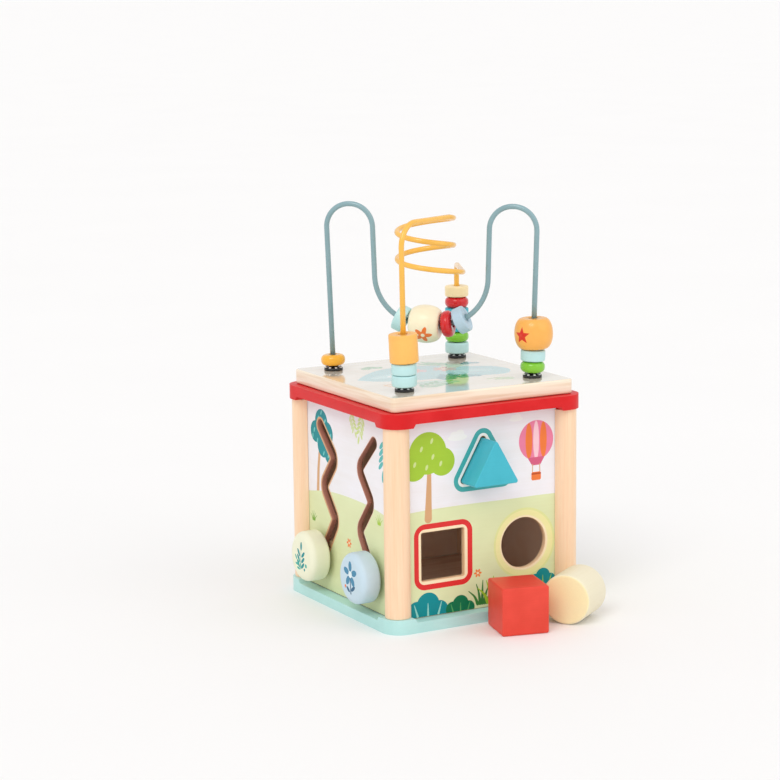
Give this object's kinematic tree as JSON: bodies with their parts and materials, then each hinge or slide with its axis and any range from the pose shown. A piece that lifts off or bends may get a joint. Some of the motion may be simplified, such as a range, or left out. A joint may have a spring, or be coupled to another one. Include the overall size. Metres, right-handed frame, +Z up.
{
  "type": "wooden activity cube",
  "caption": "Wooden activity cube with a lift-off bead-maze lid, a shape sorter front with blocks, and zig-zag sliders on one side.",
  "frame": {"origin": "centre of the base plate's underside", "axes": "+Z up, the shape sorter front faces -Y, the slider face faces -X"},
  "size_m": [0.2117, 0.262, 0.3617],
  "materials": {
    "mint_paint": "painted, satin",
    "pale_mint_paint": "painted, semi-gloss",
    "red_paint": "painted, semi-gloss",
    "block_red_paint": "painted, satin",
    "peach_wood": "stained, satin",
    "clear_wood": "clear gloss lacquer over a pale print",
    "plywood": "bare, sanded",
    "printed_panel": "printed, satin",
    "cream_paint": "painted, satin",
    "cream_green_paint": "painted and printed, satin",
    "pale_blue_paint": "painted, satin",
    "turquoise_paint": "painted, satin",
    "orange_paint": "painted, semi-gloss",
    "green_paint": "painted, gloss",
    "yellow_paint": "painted, gloss",
    "yellow_coated_wire": "coated, gloss",
    "blue_grey_coated_wire": "coated, gloss",
    "black_plastic": "semi-gloss",
    "zinc_screw": "bright zinc"
  },
  "bodies": {
    "body": {"back_panel": "printed_panel", "base_plate": "mint_paint", "base_screw_1": "zinc_screw", "base_screw_2": "zinc_screw", "base_screw_3": "zinc_screw", "base_screw_4": "zinc_screw", "frame_screw_1": "zinc_screw", "frame_screw_2": "zinc_screw", "frame_screw_3": "zinc_screw", "frame_screw_4": "zinc_screw", "front_panel": "printed_panel", "left_panel": "printed_panel", "post_back_left": "peach_wood", "post_back_right": "peach_wood", "post_front_left": "peach_wood", "post_front_right": "peach_wood", "right_panel": "printed_panel", "top_frame": "red_paint"},
    "lid": {"blue_wire": "blue_grey_coated_wire", "lid_board": "clear_wood", "lid_locating_board": "plywood", "lid_screw_1": "zinc_screw", "lid_screw_2": "zinc_screw", "lid_screw_3": "zinc_screw", "lid_screw_4": "zinc_screw", "wire_foot_back": "black_plastic", "wire_foot_front": "black_plastic", "wire_foot_left": "black_plastic", "wire_foot_right": "black_plastic", "yellow_wire": "yellow_coated_wire"},
    "slider_left": {"slider_peg_left": "peach_wood", "slider_disc_left": "plywood", "slider_screw_left": "zinc_screw"},
    "knob_left": {"slider_knob_left": "cream_green_paint"},
    "slider_right": {"slider_peg_right": "peach_wood", "slider_disc_right": "plywood", "slider_screw_right": "zinc_screw"},
    "knob_right": {"slider_knob_right": "pale_blue_paint"},
    "bead_back_cream": {"bead_back_cream": "cream_paint"},
    "bead_back_green": {"bead_back_green": "green_paint"},
    "bead_back_hidden": {"bead_back_hidden": "turquoise_paint"},
    "bead_back_mint": {"bead_back_mint": "pale_mint_paint"},
    "bead_back_red": {"bead_back_red": "red_paint"},
    "bead_front_mint_lower": {"bead_front_mint_lower": "pale_mint_paint"},
    "bead_front_mint_upper": {"bead_front_mint_upper": "pale_mint_paint"},
    "bead_front_orange": {"bead_front_orange": "orange_paint"},
    "bead_left_yellow": {"bead_left_yellow": "yellow_paint"},
    "bead_right_green": {"bead_right_green": "green_paint"},
    "bead_right_mint": {"bead_right_mint": "pale_mint_paint"},
    "bead_right_star": {"bead_right_star": "orange_paint"},
    "bead_valley_blue": {"bead_valley_blue": "pale_blue_paint"},
    "bead_valley_cream": {"bead_valley_cream": "cream_paint"},
    "bead_valley_mint": {"bead_valley_mint": "pale_mint_paint"},
    "bead_valley_red": {"bead_valley_red": "red_paint"},
    "cube_block": {"cube_block": "block_red_paint"},
    "cylinder_block": {"cylinder_block": "cream_paint"},
    "triangle_block": {"triangle_block": "turquoise_paint"}
  },
  "joints": [
    {"name": "lid_lift", "type": "slide", "parent": "body", "child": "lid", "axis": [0, 0, 1], "range_m": [0, 0.12]},
    {"name": "left_yellow_slide", "type": "slide", "parent": "lid", "child": "bead_left_yellow", "axis": [-0.0232, 0.0232, 0.9995], "range_m": [0, 0.112]},
    {"name": "front_mint_lower_slide", "type": "slide", "parent": "lid", "child": "bead_front_mint_lower", "axis": [-0.0291, -0.0291, 0.9992], "range_m": [0, 0.024]},
    {"name": "front_mint_upper_slide", "type": "slide", "parent": "bead_front_mint_lower", "child": "bead_front_mint_upper", "axis": [-0.0291, -0.0291, 0.9992], "range_m": [0, 0.024]},
    {"name": "front_orange_slide", "type": "slide", "parent": "bead_front_mint_upper", "child": "bead_front_orange", "axis": [-0.0291, -0.0291, 0.9992], "range_m": [0, 0.024]},
    {"name": "right_green_slide", "type": "slide", "parent": "lid", "child": "bead_right_green", "axis": [0.0232, -0.0232, 0.9995], "range_m": [0, 0.025]},
    {"name": "right_mint_slide", "type": "slide", "parent": "bead_right_green", "child": "bead_right_mint", "axis": [0.0232, -0.0232, 0.9995], "range_m": [0, 0.025]},
    {"name": "right_star_slide", "type": "slide", "parent": "bead_right_mint", "child": "bead_right_star", "axis": [0.0232, -0.0232, 0.9995], "range_m": [0, 0.025]},
    {"name": "back_mint_slide", "type": "slide", "parent": "lid", "child": "bead_back_mint", "axis": [0, 0, 1], "range_m": [0, 0.0016]},
    {"name": "back_green_slide", "type": "slide", "parent": "bead_back_mint", "child": "bead_back_green", "axis": [0, 0, 1], "range_m": [0, 0.0016]},
    {"name": "back_hidden_slide", "type": "slide", "parent": "bead_back_green", "child": "bead_back_hidden", "axis": [0, 0, 1], "range_m": [0, 0.0016]},
    {"name": "back_red_slide", "type": "slide", "parent": "bead_back_hidden", "child": "bead_back_red", "axis": [0, 0, 1], "range_m": [0, 0.0016]},
    {"name": "back_cream_slide", "type": "slide", "parent": "bead_back_red", "child": "bead_back_cream", "axis": [0, 0, 1], "range_m": [0, 0.0016]},
    {"name": "valley_mint_spin", "type": "hinge", "parent": "lid", "child": "bead_valley_mint", "pos_m": [-0.01963, 0.01963, 0.2567], "axis": [0.6414, -0.6414, -0.4211], "continuous": true},
    {"name": "valley_cream_spin", "type": "hinge", "parent": "lid", "child": "bead_valley_cream", "pos_m": [-0.00377, 0.00377, 0.25251], "axis": [0.7064, -0.7064, -0.0446], "continuous": true},
    {"name": "valley_red_spin", "type": "hinge", "parent": "lid", "child": "bead_valley_red", "pos_m": [0.01072, -0.01072, 0.25292], "axis": [0.7013, -0.7013, 0.128], "continuous": true},
    {"name": "valley_blue_spin", "type": "hinge", "parent": "lid", "child": "bead_valley_blue", "pos_m": [0.01995, -0.01995, 0.25692], "axis": [0.6375, -0.6375, 0.4327], "continuous": true},
    {"name": "slider_left_slide", "type": "slide", "parent": "body", "child": "slider_left", "axis": [0, -0.5704, 0.8214], "range_m": [0, 0.038]},
    {"name": "knob_left_spin", "type": "hinge", "parent": "slider_left", "child": "knob_left", "pos_m": [-0.1, 0.047, 0.042], "axis": [-1, 0, 0], "continuous": true},
    {"name": "slider_right_slide", "type": "slide", "parent": "body", "child": "slider_right", "axis": [0, 0.5704, 0.8214], "range_m": [0, 0.038]},
    {"name": "knob_right_spin", "type": "hinge", "parent": "slider_right", "child": "knob_right", "pos_m": [-0.1, -0.047, 0.042], "axis": [-1, 0, 0], "continuous": true},
    {"name": "triangle_push", "type": "slide", "parent": "body", "child": "triangle_block", "axis": [0, 1, 0], "range_m": [-0.016, 0.022]},
    {"name": "cube_lift", "type": "slide", "parent": "body", "child": "cube_block", "axis": [0, 0, 1], "range_m": [0, 0.06]},
    {"name": "cylinder_lift", "type": "slide", "parent": "body", "child": "cylinder_block", "axis": [0, 0, 1], "range_m": [0, 0.06]}
  ]
}
